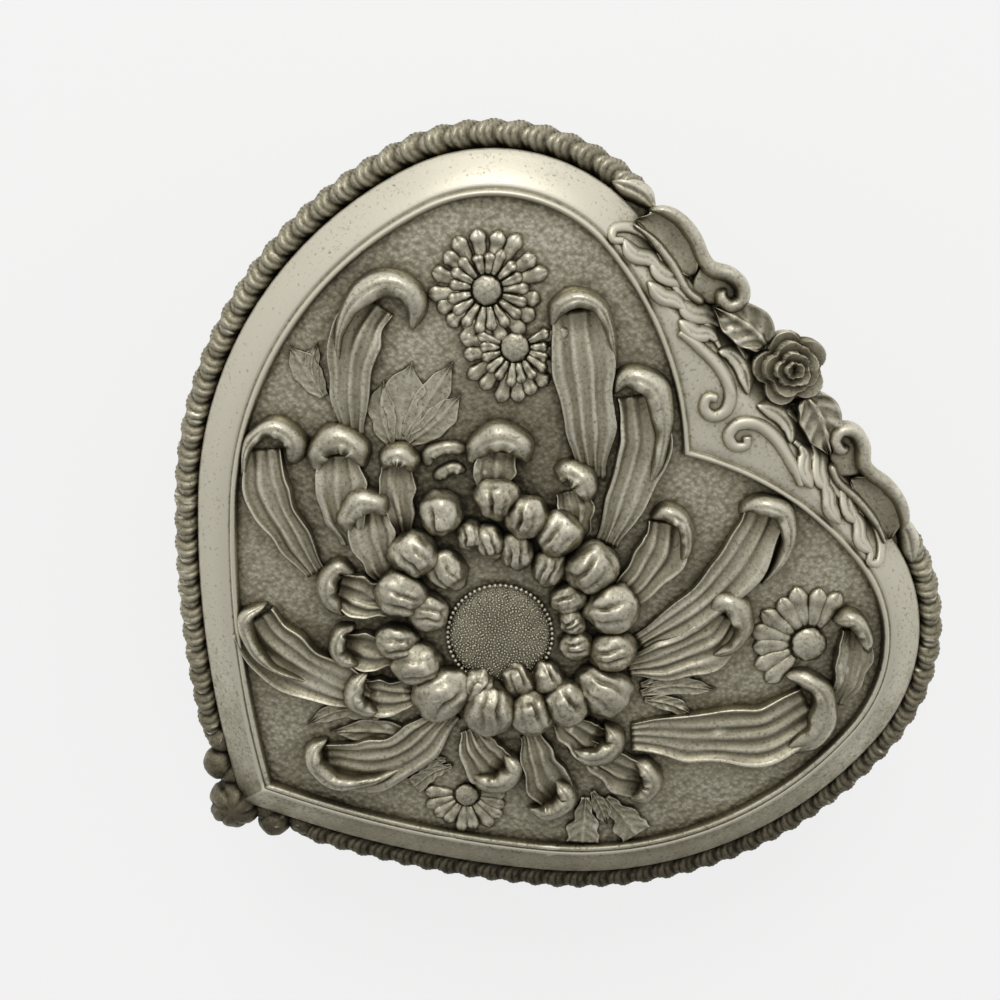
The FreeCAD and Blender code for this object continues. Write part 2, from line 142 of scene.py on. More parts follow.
def new_finish(name):
    """An empty node material and a place to add nodes to it."""
    finish = bpy.data.materials.new(name)
    finish.use_nodes = True
    finish.node_tree.nodes.clear()
    return finish, Socket(finish.node_tree)


tarnish = (0.044, 0.038, 0.026, 1)
dull_plate = (0.17, 0.150, 0.100, 1)
grey_plate = (0.37, 0.339, 0.242, 1)
rubbed_plate = (0.75, 0.71, 0.58, 1)
plate_stops = ((0.20, tarnish), (0.50, dull_plate), (0.78, grey_plate), (1.0, rubbed_plate))
sheltered_clean = 0.06
open_clean = 0.79
clean_gloss = 0.26
cloud_scale = 140
stain_scale = 1900
stain_start = 0.55
brush_scale = (45, 45, 2600)
pit_depth = 0.1 * mm
picture_top = Vector((-0.7446, 0.6219, 0))
half_lid = 60 * mm


def silver_plate(name, polish, recess, pits, pit_size=0.5, wear=3.0, crest=0.0, mottle=0.34, spots=0.25,
                 painted_shade=0.06, dullness=0.62, grain=0.30, brushed=0.0, patch=None):
    """Tarnished silver plate: dark in recesses as deep as recess mm, pale on edges and on the crests that
    a mesh marks, pitted and spotted, with painted shade that darkens it towards the side that is lowest
    in the picture, level polishing lines where it is brushed, and a dark patch at a given place."""
    finish, start = new_finish(name)
    place = start.node("ShaderNodeTexCoord", {}, {}, "Object")
    shelter = start.node("ShaderNodeAmbientOcclusion", {"samples": 8}, {"Distance": recess * mm}, "AO")
    edge = start.node("ShaderNodeNewGeometry", {}, {}, "Pointiness")
    cloud = start.grain(place, cloud_scale, 5)
    speck = start.grain(place, 1 / (pit_size * mm), 3, 0.7)
    spot = ((start.grain(place, stain_scale, 3) - stain_start) * 5).clamped()
    # Painted shade: the metal's colour is made darker towards the side of the lid that is lowest in the
    # picture
    higher = start.vector_sum("DOT_PRODUCT", place, picture_top)
    shade_below = (higher * (-1 / half_lid)).clamped()
    clean = sheltered_clean + shelter * open_clean + (edge - 0.5) * wear + polish
    clean = clean + (cloud - 0.5) * mottle + (speck - 0.5) * grain
    clean = clean - spot * spots - shade_below * painted_shade
    relief = speck + cloud * 0.5
    if brushed:
        drawn = start.node("ShaderNodeMapping", {}, {"Vector": place, "Scale": brush_scale})
        lines = start.grain(drawn, 1, 3)
        clean = clean + (lines - 0.5) * brushed
        relief = relief * 0.4 + lines
    if patch:
        middle, radius, depth = patch
        apart = start.vector_sum("DISTANCE", place, middle)
        clean = clean - (1 - apart * (1 / radius)).clamped() * depth
    if crest:
        clean = clean + start.node("ShaderNodeAttribute", {"attribute_name": "crest"}, {}, "Fac") * crest
    clean = clean.clamped()
    colour = start.node("ShaderNodeValToRGB", {"stops": plate_stops}, {"Fac": clean})
    bump = start.node("ShaderNodeBump", {}, {"Height": relief, "Strength": pits, "Distance": pit_depth})
    shader = start.node("ShaderNodeBsdfPrincipled", {}, {
        "Base Color": colour, "Roughness": dullness - clean * clean_gloss, "Metallic": 1.0, "Normal": bump})
    shader.surface()
    return finish


plain_silver = silver_plate("plain_silver", polish=-0.26, recess=6.0, pits=0.12, pit_size=1.2, mottle=0.2,
                            spots=0.12, dullness=0.46, grain=0.12, brushed=0.13)


def dress(node, finish):
    """A CAD piece keeps its shape and takes a finish."""
    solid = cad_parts[node]
    solid.data.materials.clear()
    solid.data.materials.append(finish)


for node in ("base_wall", "base_floor", "base_bezel", "base_moulding_left", "base_moulding_right",
             "foot_tip", "foot_left", "foot_right", "base_hinge_leaf", "lid_hinge_leaf", "hinge_pin"):
    dress(node, plain_silver)

# Lid frame. One casting: an upright skirt, a gently crowned band sloping up from it, a fine groove
# and a thin bead round the sunk field. Its back is straight, but the field's edge dips to a notch.
side_radius = 159 * mm
flank_radius = 60 * mm
lobe_radius = 31 * mm
headings = [math.radians(degrees) for degrees in (26, 45, 104, 180)]
wall_inset = 4 * mm
field_inset = 10.4 * mm
notch_depth = 9.4 * mm
side_steps = (44, 60, 44)
back_steps = 40
seam_share = 0.9
up = Vector((0, 0, 1))

arcs = []
radii = (side_radius, flank_radius, lobe_radius)
turn_x, turn_y = 0, 0
for radius, start_heading, end_heading in zip(radii, headings, headings[1:]):
    centre_x = turn_x - radius * math.sin(start_heading)
    centre_y = turn_y + radius * math.cos(start_heading)
    arcs.append((centre_x, centre_y, radius, start_heading, end_heading))
    turn_x = centre_x + radius * math.sin(end_heading)
    turn_y = centre_y - radius * math.cos(end_heading)
back_half = turn_x
back_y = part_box("base_wall")[1].y + wall_inset
tip_y = back_y - turn_y
arcs = [(x, y + tip_y, radius, start, end) for x, y, radius, start, end in arcs]
part_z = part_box("lid_frame")[0].z
field_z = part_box("relief_panel")[1].z


def on_arc(index, inset, heading):
    """The place on one arc of the outline, moved inwards, where its line has a heading."""
    x, y, radius, start, end = arcs[index]
    reach = radius - inset
    return Vector((x + reach * math.sin(heading), y - reach * math.cos(heading), 0))


def first_heading(inset):
    """The heading at which the side's arc, moved inwards, leaves the middle line at the tip."""
    x, y, radius, start, end = arcs[0]
    return math.asin(-x / (radius - inset))


def right_side(inset):
    """Places up the right of the heart, from the tip to the end of the lobe."""
    places = []
    for index, steps in enumerate(side_steps):
        start, end = arcs[index][3:]
        begin = start if index else first_heading(inset)
        places += [on_arc(index, inset, begin + (end - begin) * step / steps) for step in range(steps)]
    return places + [Vector((back_half, back_y - inset, 0))]


def notch_place(inset, share):
    """A place on the field's edge from the end of the right lobe, share 0, to the notch, share 1."""
    grow = field_inset - inset
    reach = (back_half ** 2 + notch_depth ** 2) / (2 * notch_depth) + grow
    sweep = math.asin(back_half / reach) * share
    drop = reach - reach * math.cos(sweep)
    return Vector((back_half - reach * math.sin(sweep), back_y - inset - drop, 0))


def heart_loop(inset, z, dip=0):
    """The heart's outline moved inwards, with its back straight at dip 0 and notched at dip 1."""
    right = right_side(inset)
    back = []
    for step in range(1, back_steps):
        share = min(step, back_steps - step) / (back_steps / 2)
        notch = notch_place(inset, share)
        straight = Vector((back_half * (1 - share), back_y - inset, 0))
        place = straight.lerp(notch, dip)
        if step > back_steps / 2:
            place.x = -place.x
        back.append(place)
    left = [Vector((-place.x, place.y, 0)) for place in reversed(right[1:])]
    left.append(left[-1].lerp(right[0], seam_share))
    return [place + up * z for place in right + back + left]


def loop_edges(bm, loop):
    """The edges from each vertex of a closed loop to the next."""
    return [bm.edges.get((a, b)) for a, b in zip(loop, loop[1:] + loop[:1])]


def pull_through(bm, loops):
    """A circle shaped to the first loop and pulled through the rest. Gives the edges of its two ends."""
    bmesh.ops.create_circle(bm, segments=len(loops[0]), radius=1)
    bm.verts.ensure_lookup_table()
    loop = list(bm.verts)
    first = loop
    for vert, place in zip(loop, loops[0]):
        vert.co = place
    for places in loops[1:]:
        made = bmesh.ops.extrude_edge_only(bm, edges=loop_edges(bm, loop))["geom"]
        fresh = {item for item in made if isinstance(item, bmesh.types.BMVert)}
        loop = [next(e.other_vert(v) for e in v.link_edges if e.other_vert(v) in fresh) for v in loop]
        for vert, place in zip(loop, places):
            vert.co = place
    return loop_edges(bm, first), loop_edges(bm, loop)


def ring_mesh(loops):
    """A closed ring, pulled through its loops and joined up."""
    bm = bmesh.new()
    first, last = pull_through(bm, loops)
    bmesh.ops.bridge_loops(bm, edges=last + first)
    return bm


def make_piece(name, bm, finish, body, nodes=()):
    """Closes a mesh into a named piece that rides on a body and stands for its CAD nodes."""
    bmesh.ops.recalc_face_normals(bm, faces=bm.faces[:])
    for face in bm.faces:
        face.smooth = True
    mesh = bpy.data.meshes.new(name)
    bm.to_mesh(mesh)
    bm.free()
    mesh.materials.append(finish)
    piece = bpy.data.objects.new(name, mesh)
    bpy.context.scene.collection.objects.link(piece)
    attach(piece, body)
    if nodes:
        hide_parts(*nodes)
    return piece


# Insets and heights in mm of the frame's section, from the foot of the skirt up, over and down inside
skirt_section = ((4.0, 0), (4.0, 0.4), (4.0, 4.3), (4.06, 4.7), (4.35, 5.0))
band_section = ((5.0, 5.42), (5.9, 6.02), (6.9, 6.68), (7.8, 7.20), (8.5, 7.52), (8.9, 7.66))
bead_section = ((9.15, 7.60), (9.3, 7.52), (9.45, 7.62), (9.6, 7.9), (9.85, 8.12), (10.1, 8.12),
                (10.3, 7.9), (10.38, 7.5), (10.42, 6.9), (10.42, 5.9))
inner_section = ((5.2, 3.6), (5.2, 0.3), (5.2, 0))
platform_dips = (0.2, 0.4, 0.6, 0.8)
platform_inset, platform_rise = (9.0, 7.66)

loops = [heart_loop(inset * mm, part_z + rise * mm) for inset, rise in skirt_section + band_section]
loops += [heart_loop(platform_inset * mm, part_z + platform_rise * mm, dip) for dip in platform_dips]
loops += [heart_loop(inset * mm, part_z + rise * mm, 1) for inset, rise in bead_section]
# The right half of the band laps over the left at the tip, which leaves a seam there
lap_rise = 0.45 * mm
lap_length = 8 * mm
hairline = 0.001 * mm
for loop in loops[len(skirt_section) - 1:]:
    for place in loop:
        if place.x > -hairline:
            place.z += lap_rise * math.exp(-math.hypot(place.x, place.y - loop[0].y) / lap_length)
loops += [heart_loop(inset * mm, part_z + rise * mm) for inset, rise in inner_section]
# The band gets strong painted shade towards the bottom of the picture
band_silver = silver_plate("band_silver", polish=0.20, recess=5.0, pits=0.25, pit_size=0.6, painted_shade=0.50,
                           dullness=0.70)
make_piece("cast_frame", ring_mesh(loops), band_silver, "lid", ["lid_frame"])

# Ground of the relief. A thin cast plate let into the frame from above, matted all over with a
# punch so that its surface is a fine pebble, and left dark.
ground_step = 0.275 * mm
pebble = 0.60 * mm
pebble_height = 0.19 * mm
ground_thickness = 0.9 * mm
ground_tuck = 0.5 * mm
patch_pixel = (495, 455)
patch_radius = 19 * mm
patch_depth = 0.26

edge_loop = heart_loop(field_inset - ground_tuck, field_z, 1)
low_x = min(place.x for place in edge_loop)
low_y = min(place.y for place in edge_loop)
high_y = max(place.y for place in edge_loop)
columns = round(-2 * low_x / ground_step)
rows = round((high_y - low_y) / ground_step)
bm = bmesh.new()
bmesh.ops.create_grid(bm, x_segments=columns, y_segments=rows, size=0.5)
bmesh.ops.scale(bm, vec=(-2 * low_x, high_y - low_y, 1), verts=bm.verts)
bmesh.ops.translate(bm, vec=(0, (low_y + high_y) / 2, field_z), verts=bm.verts)


def crossings(y):
    """Where a row of the ground crosses the edge of the field."""
    cuts = []
    for a, b in zip(edge_loop, edge_loop[1:] + edge_loop[:1]):
        if (a.y > y) != (b.y > y):
            cuts.append(a.x + (b.x - a.x) * (y - a.y) / (b.y - a.y))
    return sorted(cuts)


row_cuts = {}
outside = []
for vert in bm.verts:
    key = round((vert.co.y - low_y) / ground_step)
    if key not in row_cuts:
        row_cuts[key] = crossings(vert.co.y)
    if sum(cut < vert.co.x for cut in row_cuts[key]) % 2 == 0:
        outside.append(vert)
bmesh.ops.delete(bm, geom=outside, context="VERTS")
crest = bm.verts.layers.float.new("crest")
for vert in bm.verts:
    nearest = noise.voronoi(vert.co / pebble)[0][0]
    vert[crest] = 0.5 - min(nearest, 1)
    vert.co.z += pebble_height * vert[crest]
rim = [edge for edge in bm.edges if edge.is_boundary]
made = bmesh.ops.extrude_edge_only(bm, edges=rim)["geom"]
for vert in (item for item in made if isinstance(item, bmesh.types.BMVert)):
    vert.co.z = field_z - ground_thickness
lower_rim = [item for item in made if isinstance(item, bmesh.types.BMEdge) and item.is_boundary]
bmesh.ops.edgeloop_fill(bm, edges=lower_rim)
matted_silver = silver_plate(
    "matted_silver", polish=0.04, recess=6.0, pits=0.4, pit_size=0.3, wear=0, crest=0.38, mottle=0.26,
    spots=0.12, patch=(on_plane(patch_pixel, field_z), patch_radius, patch_depth))
make_piece("matted_ground", bm, matted_silver, "lid", ["relief_panel"])

# Chrysanthemum petals. Long straps cast with the ground: each swings outwards from the ring of
# florets as a reeded trough, and its end curls up and over into a thick hood that opens inwards.
relief_silver = silver_plate("relief_silver", polish=0.04, recess=3.5, pits=0.2, wear=2.0)
# A pixel on the lid in mm. A strap's edges turn down outside wall_share of its half width and flare
# by foot_flare, and its route has bend_steps places between two that are given.
pixel_size = 0.149
wall_share = 0.82
foot_flare = 0.05
bend_steps = 24


def along(shares, s):
    """A value that runs smoothly through evenly spaced shares as s goes from 0 to 1."""
    place = min(max(s, 0), 1) * (len(shares) - 1)
    index = min(int(place), len(shares) - 2)
    part = place - index
    part = part * part * (3 - 2 * part)
    return shares[index] + (shares[index + 1] - shares[index]) * part


def smooth_route(places, steps=60):
    """Evenly spaced places on a smooth line through a few given ones."""
    ends = [2 * places[0] - places[1]] + list(places) + [2 * places[-1] - places[-2]]
    dense = []
    for a, b, c, d in zip(ends, ends[1:], ends[2:], ends[3:]):
        for step in range(bend_steps):
            t = step / bend_steps
            dense.append(0.5 * (2 * b + (c - a) * t + (2 * a - 5 * b + 4 * c - d) * t ** 2
                                + (3 * b - 3 * c + d - a) * t ** 3))
    dense.append(places[-1])
    lengths = [0]
    for a, b in zip(dense, dense[1:]):
        lengths.append(lengths[-1] + (b - a).length)
    route = []
    index = 0
    for step in range(steps + 1):
        wanted = lengths[-1] * step / steps
        while index < len(dense) - 2 and lengths[index + 1] < wanted:
            index += 1
        span = max(lengths[index + 1] - lengths[index], 1e-9)
        route.append(dense[index].lerp(dense[index + 1], (wanted - lengths[index]) / span))
    return route


def route_at(route, share):
    """Place and direction at a share of the route's length."""
    place = min(max(share, 0), 1) * (len(route) - 1)
    index = min(int(place), len(route) - 2)
    ahead = route[min(index + 2, len(route) - 1)] - route[max(index - 1, 0)]
    ahead.z = 0
    return route[index].lerp(route[index + 1], place - index), ahead.normalized()


def join_part(bm, part):
    """Adds a finished part to a mesh that is made of many."""
    scratch = bpy.data.meshes.new("part")
    part.to_mesh(scratch)
    part.free()
    bm.from_mesh(scratch)
    bpy.data.meshes.remove(scratch)


def round_end(distance, length):
    """Share of its full size that a strap has at a distance from a rounded end."""
    if distance >= length:
        return 1
    return math.sqrt(max(1 - (1 - distance / length) ** 2, 0.02))


def strap(bm, places, width, widths, section, rows=36, columns=26, ground=field_z, sink=0.3, tips=(0, 0),
          under=1, waver=0.0):
    """A closed shell along a few places, on a ground that is a height or gives one at a point. Its width
    in mm changes by shares along it, and section gives its height in mm at v across, from -1 to 1, and s
    along, from 0 to 1. It goes sink mm into the ground, its ends are rounded over the lengths in tips,
    its underside has the share under of its width, and its edges waver by a share of it."""
    route = smooth_route(places)
    part = bmesh.new()
    upper = set(bmesh.ops.create_grid(part, x_segments=columns, y_segments=rows, size=1)["verts"])
    bmesh.ops.solidify(part, geom=part.faces[:], thickness=-0.01)
    for vert in part.verts:
        v = min(max(vert.co.x, -1), 1)
        s = min(max((vert.co.y + 1) / 2, 0), 1)
        place, ahead = route_at(route, s)
        inner = min(max(v / wall_share, -1), 1)
        drop = max(abs(v) - wall_share, 0) / (1 - wall_share)
        blunt = round_end(s, tips[0]) * round_end(1 - s, tips[1])
        reach = width * mm / 2 * along(widths, s) * inner * (1 + foot_flare * drop) * blunt
        if waver:
            reach *= 1 + waver * noise.noise(Vector((s * 5, math.copysign(3, v), width)))
        if vert not in upper:
            reach *= under
        point = place + up.cross(ahead) * reach
        base = ground(point) if callable(ground) else ground
        shoulder = math.sqrt(1 - min(drop, 1) ** 2)
        rise = section(inner, s) * shoulder * (0.3 + 0.7 * blunt) if vert in upper else -sink
        point.z = base + rise * mm
        vert.co = point
    join_part(bm, part)


def trough(reeds, seed):
    """A petal's section: soft uneven reeds, and rims that rise as its floor sinks towards the hood."""
    def height(v, s):
        wander = 0.4 * noise.noise(Vector((seed, s * 1.6, 0.3))) * (1 - v * v)
        ripple = 0.5 + 0.5 * math.cos(math.pi * reeds * (v + wander + 0.3 * math.sin(seed)))
        depth = 0.42 + 0.35 * noise.noise(Vector((v * 1.6, seed, s * 1.8)))
        hair = 0.10 * noise.noise(Vector((v * 8, seed, s * 1.3)))
        floor = along((0.5, 1.15, 1.0, 0.3), s)
        rim = along((0.1, 0.35, 0.85, 0.9), s) * v ** 4
        return floor + rim + hair + depth * ripple ** 1.4 * along((0.6, 1, 1, 0.5), s)
    return height


def hood(crown, places, groove=0.18):
    """A hood's section: round from its outer foot up to a ragged lip on the inside of its bend."""
    seed = places[0].x / mm
    spans = [b - a for a, b in zip(places, places[1:])]
    inside = math.copysign(1, sum(a.cross(b).z for a, b in zip(spans, spans[1:])))

    def height(v, s):
        w = v * inside
        top = crown * along((0.40, 0.85, 1, 0.95, 0.6), s)
        side = ((w - 0.3) / 1.3) ** 2 if w < 0.3 else 0.5 * ((w - 0.3) / 0.7) ** 2
        lip = groove * math.exp(-((w - 0.1) / 0.13) ** 2) * along((0.3, 1, 1, 0.4), s)
        rag = 0.55 * max(w - 0.15, 0) * noise.noise(Vector((s * 8, seed, 0.8)))
        swell = 0.12 * noise.noise(Vector((s * 4, seed, 0.2)))
        return top * (0.2 + 0.8 * math.sqrt(max(1 - side, 0)) + rag + swell) - lip
    return height


# Each petal's strap from the ring outwards, in pixels, its width in pixels and its reeds, then its
# hood from the thin end to the thick one, with its width and its shares of that width
crook = (0.28, 0.36, 0.62, 0.95, 1, 0.85, 0.5)
crescent = (0.35, 0.85, 1, 0.92, 0.4)
limb = (0.32, 0.45, 0.6, 0.85, 1, 0.9, 0.5)
fat_limb = (0.45, 0.85, 1, 0.85, 0.65, 0.5)
petals = (
    (((352, 436), (350, 385), (356, 335), (374, 303)), 46, 3,
     ((334, 372), (338, 335), (352, 302), (378, 284), (402, 286), (416, 305), (411, 331)), 25, crook),
    (((316, 574), (290, 532), (268, 492), (262, 450)), 42, 3,
     ((240, 480), (246, 448), (262, 430), (282, 430), (296, 446), (289, 467)), 21, crook[:-1]),
    (((352, 545), (342, 500), (338, 456)), 48, 3,
     ((313, 474), (318, 450), (338, 440), (356, 448), (364, 470)), 29, crescent),
    (((405, 535), (398, 495), (397, 466)), 34, 2,
     ((381, 472), (388, 459), (398, 455), (409, 461), (415, 474)), 22, crescent),
    (((492, 505), (494, 480), (498, 452)), 38, 2,
     ((469, 466), (480, 445), (500, 437), (520, 444), (527, 466)), 28, crescent),
    (((575, 545), (576, 515), (572, 492)), 34, 2,
     ((556, 478), (570, 473), (584, 481), (592, 504)), 25, (0.6, 1, 1, 0.4)),
    (((592, 480), (590, 425), (584, 365), (578, 310)), 56, 4,
     ((617, 368), (611, 330), (599, 306), (578, 298), (559, 307), (551, 328)), 18, limb),
    (((606, 545), (628, 495), (644, 445), (640, 396)), 48, 3,
     ((652, 490), (662, 455), (665, 425), (659, 393), (641, 379), (624, 381), (614, 396)), 26, limb),
    (((612, 608), (640, 580), (664, 548), (670, 524)), 46, 3,
     ((682, 570), (689, 545), (684, 522), (668, 514), (652, 520)), 19, (0.4, 0.65, 0.8, 1, 0.6)),
    (((640, 645), (695, 610), (732, 575), (757, 535), (766, 512)), 46, 3,
     ((764, 588), (783, 562), (791, 540), (787, 516), (769, 506), (750, 508), (742, 516)), 21, limb),
    (((628, 668), (680, 656), (712, 640), (728, 618)), 50, 4,
     ((714, 661), (737, 647), (745, 629), (739, 610), (725, 604), (710, 614)), 25, limb),
    (((632, 738), (700, 736), (765, 732), (812, 712)), 62, 4,
     ((790, 756), (818, 738), (828, 716), (824, 694), (808, 682), (788, 679)), 29, fat_limb),
    (((838, 705), (850, 672), (858, 632)), 34, 2,
     ((873, 658), (866, 634), (853, 620), (836, 624)), 19, (0.4, 0.8, 1, 0.6)),
    (((380, 700), (310, 672), (272, 646), (252, 622)), 58, 4,
     ((310, 688), (266, 665), (247, 640), (244, 618), (264, 607)), 15, (0.3, 0.5, 0.9, 1, 0.6)),
    (((452, 712), (412, 748), (370, 765), (326, 766)), 54, 4,
     ((402, 773), (370, 783), (336, 785), (314, 768), (313, 752), (326, 743)), 21, limb),
    (((392, 585), (375, 545), (368, 512)), 44, 3,
     ((346, 538), (346, 517), (358, 503), (376, 504), (389, 518)), 25, crescent),
    (((405, 600), (370, 598), (338, 590)), 42, 3,
     ((354, 578), (338, 569), (326, 582), (327, 601), (343, 619)), 21, crescent),
    (((410, 650), (370, 650), (345, 650)), 38, 2,
     ((354, 629), (340, 634), (335, 649), (342, 662), (359, 668)), 18, crescent),
    (((425, 692), (385, 696), (360, 696)), 38, 3,
     ((366, 673), (354, 687), (353, 702), (363, 712), (380, 716)), 21, crescent),
    (((555, 715), (585, 738), (606, 744)), 40, 3,
     ((568, 754), (590, 761), (608, 755), (617, 742), (605, 726)), 23, crescent),
    (((580, 745), (620, 772), (645, 785)), 40, 3,
     ((630, 804), (647, 798), (654, 785), (648, 771), (634, 763)), 21, crescent),
    (((530, 735), (545, 775), (560, 800)), 44, 3,
     ((528, 814), (548, 816), (563, 808), (569, 797), (555, 783)), 21, crescent),
    (((470, 730), (482, 755), (503, 775)), 48, 4,
     ((468, 780), (490, 788), (507, 783), (515, 770), (503, 757)), 23, crescent),
)
petal_shares = (0.45, 0.8, 1, 0.86)
petal_waver = 0.16
petal_height = 1 * mm
hood_crown = 3.1
hood_height = 2.2 * mm
hood_tips = (0.05, 0.16)
hood_waver = 0.22

bm = bmesh.new()
for index, (strap_pixels, width, reeds, hood_pixels, hood_width, shares) in enumerate(petals):
    places = [on_plane(pixel, field_z + petal_height) for pixel in strap_pixels]
    section = trough(reeds, index * 1.7)
    strap(bm, places, width * pixel_size, petal_shares, section, columns=30, waver=petal_waver)
    places = [on_plane(pixel, field_z + hood_height) for pixel in hood_pixels]
    section = hood(hood_crown, places)
    strap(bm, places, hood_width * pixel_size, shares, section, 40, 16, tips=hood_tips, waver=hood_waver)

# Two small curls with no strap of their own, and the thin outer lip of the petal by the upper daisies
loose_curls = (
    (((468, 452), (446, 449), (428, 456), (426, 470)), 14, 1.5),
    (((466, 474), (450, 470), (432, 482)), 13, 1.3),
    (((613, 325), (597, 298), (572, 292), (550, 304)), 9, 1.7),
)
curl_shares = (0.5, 0.9, 0.9, 1, 0.7)
for pixels, width, crown in loose_curls:
    places = [on_plane(pixel, field_z + hood_height) for pixel in pixels]
    section = hood(crown, places, 0.1)
    strap(bm, places, width * pixel_size, curl_shares, section, 30, 12, tips=(0.1, 0.15))
make_piece("bloom_petals", bm, relief_silver, "lid", ["chrysanthemum_petals"])

# Heart of the chrysanthemum. Two crowded rings of incurved florets, each a fingertip creased on its
# inner half, round a low disc that is cut all over into fine beads. Cast in one with the petals.
bloom_pixel = (500, 633)
bloom = on_plane(bloom_pixel, field_z)
heart_silver = silver_plate("heart_silver", polish=0.03, recess=3.0, pits=0.2, wear=2.5, painted_shade=0.10)

# Pixels of each floret's middle, and its radius in pixels
outer_florets = (
    (497, 502, 20), (525, 519, 20), (558, 537, 21), (591, 571, 24), (611, 612, 24), (613, 655, 20),
    (604, 693, 24), (567, 706, 22), (532, 715, 22), (490, 712, 25), (442, 697, 26), (416, 667, 21),
    (397, 645, 18), (401, 598, 23), (414, 557, 22), (441, 517, 19),
)
inner_florets = (
    (470, 537, 13), (490, 544, 15), (517, 553, 16), (549, 570, 16), (568, 601, 15), (572, 623, 14),
    (577, 647, 15), (548, 679, 15), (518, 682, 15), (477, 690, 17), (428, 614, 20), (446, 573, 18),
)


def floret(bm, place, outwards, radius, height, seed):
    """A fingertip of a petal, creased along its back, with a shallow mouth at its inner end."""
    made = bmesh.ops.create_uvsphere(bm, u_segments=44, v_segments=30, radius=1)["verts"]
    lean = noise.noise(Vector((seed, 0.3, 0.7)))
    spread = noise.noise(Vector((0.8, seed, 0.2)))
    outwards = Matrix.Rotation(0.9 * lean, 3, "Z") @ outwards
    across = up.cross(outwards)
    long = 1.12 + 0.25 * spread
    for vert in made:
        x, y, z = vert.co
        top = max(z + 0.35, 0)
        line = y + 0.35 * lean * x + 0.16 * noise.noise(Vector((x * 1.8, seed, 0.4)))
        creases = math.exp(-((line - 0.35 - 0.3 * spread) / 0.09) ** 2)
        creases += (0.6 + lean) * math.exp(-((line + 0.32 - 0.3 * lean) / 0.08) ** 2)
        creases *= 1.6 / (1 + math.exp((x - 0.35) / 0.12)) + 0.3
        mouth = math.hypot(x + 0.98, 0.75 * y - 0.25 * lean)
        hollow = 1 / (1 + math.exp((mouth - 0.42) / 0.08))
        lip = math.exp(-((mouth - 0.62) / 0.10) ** 2)
        rough = 0.14 * noise.noise(Vector((x, y, z)) * 1.5 + Vector((seed, 0, 0)))
        rough += 0.04 * noise.noise(Vector((x, y, z)) * 5 + Vector((seed, 0, 0)))
        swell = 1 + rough + top * (0.03 * lip - 0.12 * hollow - 0.10 * creases * (1 - hollow))
        wide = 0.98 + 0.16 * x
        flat = outwards * (long * x * radius) + across * (wide * y * radius)
        vert.co = place + (flat + up * (z * height)) * swell


floret_swell = 1.08
# Each ring's florets, with the rise of their middles over the ground and their half height
floret_rings = ((outer_florets, 1.4 * mm, 2.9 * mm), (inner_florets, 0.9 * mm, 2.1 * mm))
bm = bmesh.new()
for ring, rise, half_height in floret_rings:
    for index, (across, down, radius) in enumerate(ring):
        place = on_plane((across, down), field_z + rise + half_height / 2) - up * (half_height / 2)
        outwards = place - bloom
        outwards.z = 0
        seed = index * 1.7 + half_height / mm * 10
        floret(bm, place, outwards.normalized(), radius * pixel_size * floret_swell * mm, half_height, seed)
make_piece("bloom_heart", bm, heart_silver, "lid", ["chrysanthemum_heart"])

disc_radius = 7.7 * mm
disc_crown = 1.1 * mm
disc_rise = 0.3 * mm
seeds = 820
seed_radius = 0.21 * mm
seed_spread = 0.97
rim_beads = 62
rim_bead_scale = 1.7
rim_bead_rise = 0.9 * mm
disc_silver = silver_plate("disc_silver", polish=0.0, recess=1.5, pits=0.1, wear=1.0, spots=0.1)
bm = bmesh.new()
dome = bmesh.ops.create_uvsphere(bm, u_segments=40, v_segments=20, radius=1)["verts"]
bmesh.ops.scale(bm, vec=(disc_radius, disc_radius, disc_crown), verts=dome)
bmesh.ops.translate(bm, vec=bloom + up * disc_rise, verts=dome)
part = bmesh.new()
bmesh.ops.create_icosphere(part, subdivisions=1, radius=seed_radius)
seed_mesh = bpy.data.meshes.new("seed")
part.to_mesh(seed_mesh)
part.free()


def sow(spot, scale):
    """Adds one seed of the disc at a spot."""
    move = Matrix.Translation(spot) @ Matrix.Scale(scale, 4)
    seed_mesh.transform(move)
    bm.from_mesh(seed_mesh)
    seed_mesh.transform(move.inverted())


golden_angle = math.pi * (3 - math.sqrt(5))
for index in range(seeds):
    jitter = noise.noise(Vector((index * 0.77, 0.5, 0.2)))
    share = math.sqrt((index + 0.5) / seeds) * seed_spread + 0.008 * jitter
    turn = golden_angle * index + 0.12 * noise.noise(Vector((0.2, index * 0.61, 0.9)))
    spot = Vector((disc_radius * share * math.cos(turn), disc_radius * share * math.sin(turn), 0))
    height = disc_crown * math.sqrt(max(1 - share ** 2, 0)) + disc_rise
    sow(bloom + spot + up * height, 1 + 0.4 * jitter)
for index in range(rim_beads):
    turn = 2 * math.pi * index / rim_beads
    spot = Vector((disc_radius * math.cos(turn), disc_radius * math.sin(turn), rim_bead_rise))
    sow(bloom + spot, rim_bead_scale)
bpy.data.meshes.remove(seed_mesh)
make_piece("bloom_disc", bm, disc_silver, "lid")

# Daisies. Four small rayed flowers in low relief: two of them crowded with two rows of knobbly petals
# and overlapping, two a half fan of plain fingers. Each has a low rough boss, and is cast on the ground.

# Each row of petals by where it starts and ends and how wide its petals are, as shares of the flower's
# radius, and how far it stands over the row outside it
crowded = ((0.46, 1.0, 0.29, 0.0), (0.28, 0.72, 0.21, 0.4))
fan = ((0.32, 1.0, 0.33, -0.1),)
